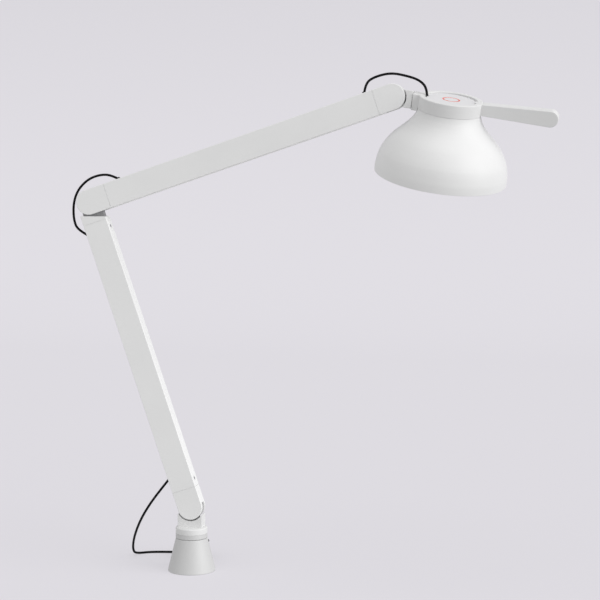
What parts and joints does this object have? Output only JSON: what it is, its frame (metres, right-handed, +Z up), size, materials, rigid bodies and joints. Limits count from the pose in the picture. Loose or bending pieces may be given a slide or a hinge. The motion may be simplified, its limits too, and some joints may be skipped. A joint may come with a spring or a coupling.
{
  "type": "swing arm desk lamp",
  "caption": "Desk lamp with a through-desk cone mount, swivel base, rectangular friction-hinged arms, and a tilting, rolling bell shade with a handle and top button.",
  "frame": {"origin": "centre of the cone's underside, on the desk's top face, on the stud's axis", "axes": "+Z up out of the desk, the arms swing in the XZ plane at rest and the head is towards +X"},
  "size_m": [0.5993, 0.1582, 0.6793],
  "materials": {
    "arm_paint": "satin pale grey coat on cast aluminium",
    "tube_paint": "satin pale grey coat on extruded tube",
    "cast_paint": "satin pale grey coat on cast aluminium",
    "disc_paint": "satin pale grey coat",
    "cone_paint": "satin mid-grey metallic coat",
    "shade_paint": "satin pale grey coat on a spun shell",
    "hinge_dark": "dark anodised",
    "steel": "turned and zinc plated",
    "plate_steel": "black powder coat",
    "knob_plastic": "fine moulded texture",
    "bush_plastic": "low friction plastic",
    "rubber_pad": "matt",
    "cord_jacket": "smooth matt cord jacket",
    "cord_plug": "fine moulded texture",
    "heat_sink": "bead blasted",
    "circuit": "white solder mask",
    "reflector": "bright anodised",
    "diffuser": "frosted opal sheet",
    "mark_coral": "translucent coral ring"
  },
  "bodies": {
    "desk_mount": {"base_cone": "cone_paint", "base_pad": "rubber_pad", "mount_plate": "steel", "plate_screws": "steel", "mount_stud": "steel", "swivel_bush": "bush_plastic", "stop_pin": "steel", "under_desk_plate": "plate_steel", "clamp_nut": "knob_plastic"},
    "swivel": {"swivel_spindle": "steel", "swivel_collar": "cone_paint", "base_knuckle": "cast_paint", "shoulder_tongue": "hinge_dark", "thrust_washer": "bush_plastic", "circlip": "steel", "foot_screws": "steel", "free_cord": "cord_jacket", "cord_coil": "cord_jacket", "cord_tie": "cord_plug", "cord_connector": "cord_plug"},
    "lower_arm": {"lower_tube": "tube_paint", "lower_fork": "arm_paint", "elbow_block": "arm_paint", "elbow_tongue": "hinge_dark", "shoulder_screw": "steel", "shoulder_washers": "bush_plastic", "shoulder_cap": "arm_paint", "lower_end_screws": "steel", "lower_grommets": "rubber_pad", "lower_cable": "cord_jacket", "elbow_loop": "cord_jacket"},
    "upper_arm": {"upper_tube": "tube_paint", "elbow_fork": "arm_paint", "head_fork": "arm_paint", "upper_pivot_screws": "steel", "upper_pivot_washers": "bush_plastic", "upper_pivot_caps": "arm_paint", "upper_end_screws": "steel", "upper_grommets": "rubber_pad", "upper_cable": "cord_jacket", "tilt_loop": "cord_jacket"},
    "neck": {"head_knuckle": "cast_paint", "roll_washers": "bush_plastic", "roll_loop": "cord_jacket"},
    "head": {"roll_shaft": "steel", "roll_nut": "steel", "head_ring": "cast_paint", "handle": "cast_paint", "head_screws": "steel", "shade": "shade_paint", "top_disc": "disc_paint", "mode_mark": "mark_coral", "heat_sink": "heat_sink", "led_board": "circuit", "reflector": "reflector", "diffuser": "diffuser", "diffuser_bezel": "bush_plastic", "control_board": "circuit", "button_spring": "steel"},
    "button": {"button": "disc_paint"}
  },
  "joints": [
    {"name": "base_swivel", "type": "hinge", "parent": "desk_mount", "child": "swivel", "pos_m": [0, 0, 0], "axis": [0, 0, 1], "range_deg": [-170, 170]},
    {"name": "shoulder", "type": "hinge", "parent": "swivel", "child": "lower_arm", "pos_m": [0, 0, 0.081], "axis": [0, 1, 0], "range_deg": [-26, 63], "deforming": ["free_cord"]},
    {"name": "elbow", "type": "hinge", "parent": "lower_arm", "child": "upper_arm", "pos_m": [-0.12758, 0, 0.46011], "axis": [0, -1, 0], "range_deg": [-21, 80], "deforming": ["elbow_loop"]},
    {"name": "head_tilt", "type": "hinge", "parent": "upper_arm", "child": "neck", "pos_m": [0.25152, 0, 0.58769], "axis": [0, -1, 0], "range_deg": [-38, 60], "deforming": ["tilt_loop"]},
    {"name": "head_roll", "type": "hinge", "parent": "neck", "child": "head", "pos_m": [0.25152, 0, 0.58769], "axis": [0.9871, 0, -0.1599], "range_deg": [-73, 47], "deforming": ["roll_loop"]},
    {"name": "button_press", "type": "slide", "parent": "head", "child": "button", "axis": [-0.1555, 0.2317, -0.9603], "range_m": [0, 0.0007], "stiffness_N_per_m": 1500, "deforming": ["button_spring"]}
  ]
}
